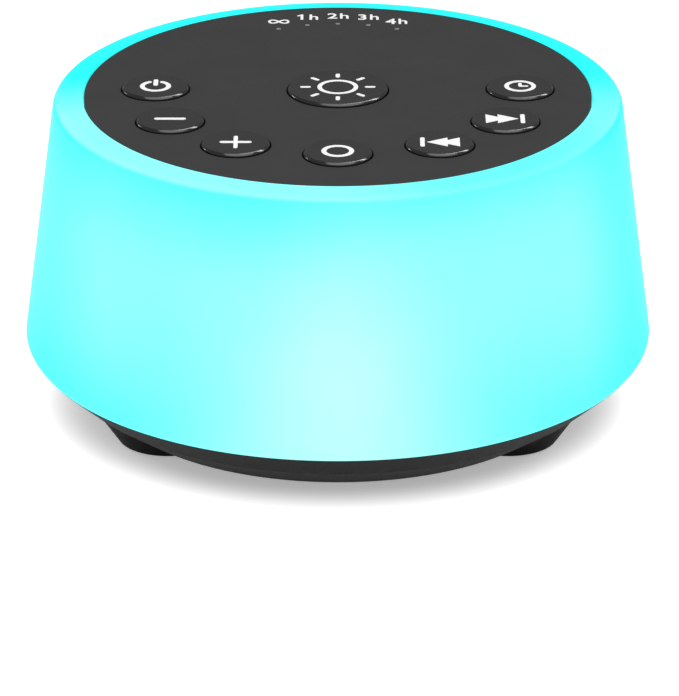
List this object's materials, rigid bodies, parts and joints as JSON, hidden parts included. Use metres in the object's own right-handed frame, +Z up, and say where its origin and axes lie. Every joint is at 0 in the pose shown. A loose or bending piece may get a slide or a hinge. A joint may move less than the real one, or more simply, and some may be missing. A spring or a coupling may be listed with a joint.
{
  "type": "white noise sound machine",
  "caption": "Round tabletop sound machine: flared glowing shade, flat black top panel with round push buttons, shallow black base on short feet.",
  "frame": {"origin": "centre of the machine's underside on the desk", "axes": "+Z up along the machine's axis, -Y to the front with the play button, +X to the right"},
  "size_m": [0.112, 0.112, 0.0597],
  "materials": {
    "frosted_shade": "frosted",
    "black_base": "matte",
    "black_panel": "fine satin",
    "button_black": "satin",
    "plunger_white": "satin",
    "pad_rubber": "matte",
    "speaker_cloth": "woven",
    "screw_steel": "zinc",
    "white_core": "matte",
    "circuit_board": "solder mask",
    "mood_light": "lens",
    "timer_light": "lens",
    "clear_guide": "polished",
    "switch_black": "satin",
    "connector_white": "satin",
    "chip_black": "matte",
    "capacitor_metal": "satin",
    "socket_steel": "bright",
    "lead_plastic": "satin",
    "ribbon_white": "satin",
    "foam_black": "foam",
    "speaker_steel": "satin",
    "terminal_brass": "bright",
    "spider_cloth": "woven",
    "magnet_dark": "dull",
    "cone_paper": "matte",
    "coil_copper": "lacquered"
  },
  "bodies": {
    "housing": {"diffuser_shade": "frosted_shade", "base_housing": "black_base", "foot_pad_front_left": "pad_rubber", "foot_pad_front_right": "pad_rubber", "foot_pad_rear": "pad_rubber", "grille_cloth": "speaker_cloth", "base_screws": "screw_steel", "core_housing": "white_core", "core_screws": "screw_steel", "light_ring_board": "circuit_board", "mood_leds": "mood_light", "top_panel": "black_panel", "tact_switches": "switch_black", "control_board": "circuit_board", "control_board_screws": "screw_steel", "timer_leds": "timer_light", "indicator_light_guide": "clear_guide", "main_board": "circuit_board", "main_board_screws": "screw_steel", "board_connectors": "connector_white", "board_chips": "chip_black", "board_capacitors": "capacitor_metal", "usb_c_socket": "socket_steel", "usb_c_tongue": "switch_black", "inlet_board": "circuit_board", "inlet_leads": "lead_plastic", "speaker_leads": "lead_plastic", "light_ring_leads": "lead_plastic", "control_ribbon": "ribbon_white", "speaker_gasket": "foam_black", "speaker_frame": "speaker_steel", "speaker_terminals": "terminal_brass", "speaker_screws": "screw_steel", "speaker_surround": "foam_black", "speaker_spider": "spider_cloth", "speaker_top_plate": "speaker_steel", "speaker_magnet": "magnet_dark", "speaker_yoke": "speaker_steel"},
    "power_button": {"power_cap": "button_black", "power_plunger": "plunger_white"},
    "volume_down_button": {"volume_down_cap": "button_black", "volume_down_plunger": "plunger_white"},
    "volume_up_button": {"volume_up_cap": "button_black", "volume_up_plunger": "plunger_white"},
    "play_button": {"play_cap": "button_black", "play_plunger": "plunger_white"},
    "previous_button": {"previous_cap": "button_black", "previous_plunger": "plunger_white"},
    "next_button": {"next_cap": "button_black", "next_plunger": "plunger_white"},
    "timer_button": {"timer_cap": "button_black", "timer_plunger": "plunger_white"},
    "light_button": {"light_cap": "button_black", "light_plunger": "plunger_white"},
    "speaker_diaphragm": {"speaker_cone": "cone_paper", "voice_coil": "coil_copper", "speaker_dust_cap": "cone_paper"}
  },
  "joints": [
    {"name": "power_press", "type": "slide", "parent": "housing", "child": "power_button", "axis": [0, 0, -1], "range_m": [0, 0.0005], "stiffness_N_per_m": 400, "springref_m": -0.0015},
    {"name": "volume_down_press", "type": "slide", "parent": "housing", "child": "volume_down_button", "axis": [0, 0, -1], "range_m": [0, 0.0005], "stiffness_N_per_m": 400, "springref_m": -0.0015},
    {"name": "volume_up_press", "type": "slide", "parent": "housing", "child": "volume_up_button", "axis": [0, 0, -1], "range_m": [0, 0.0005], "stiffness_N_per_m": 400, "springref_m": -0.0015},
    {"name": "play_press", "type": "slide", "parent": "housing", "child": "play_button", "axis": [0, 0, -1], "range_m": [0, 0.0005], "stiffness_N_per_m": 400, "springref_m": -0.0015},
    {"name": "previous_press", "type": "slide", "parent": "housing", "child": "previous_button", "axis": [0, 0, -1], "range_m": [0, 0.0005], "stiffness_N_per_m": 400, "springref_m": -0.0015},
    {"name": "next_press", "type": "slide", "parent": "housing", "child": "next_button", "axis": [0, 0, -1], "range_m": [0, 0.0005], "stiffness_N_per_m": 400, "springref_m": -0.0015},
    {"name": "timer_press", "type": "slide", "parent": "housing", "child": "timer_button", "axis": [0, 0, -1], "range_m": [0, 0.0005], "stiffness_N_per_m": 400, "springref_m": -0.0015},
    {"name": "light_press", "type": "slide", "parent": "housing", "child": "light_button", "axis": [0, 0, -1], "range_m": [0, 0.0005], "stiffness_N_per_m": 400, "springref_m": -0.0015},
    {"name": "cone_excursion", "type": "slide", "parent": "housing", "child": "speaker_diaphragm", "axis": [0, 0, 1], "range_m": [-0.0008, 0.0008], "stiffness_N_per_m": 800, "deforming": ["speaker_surround", "speaker_spider"]}
  ]
}
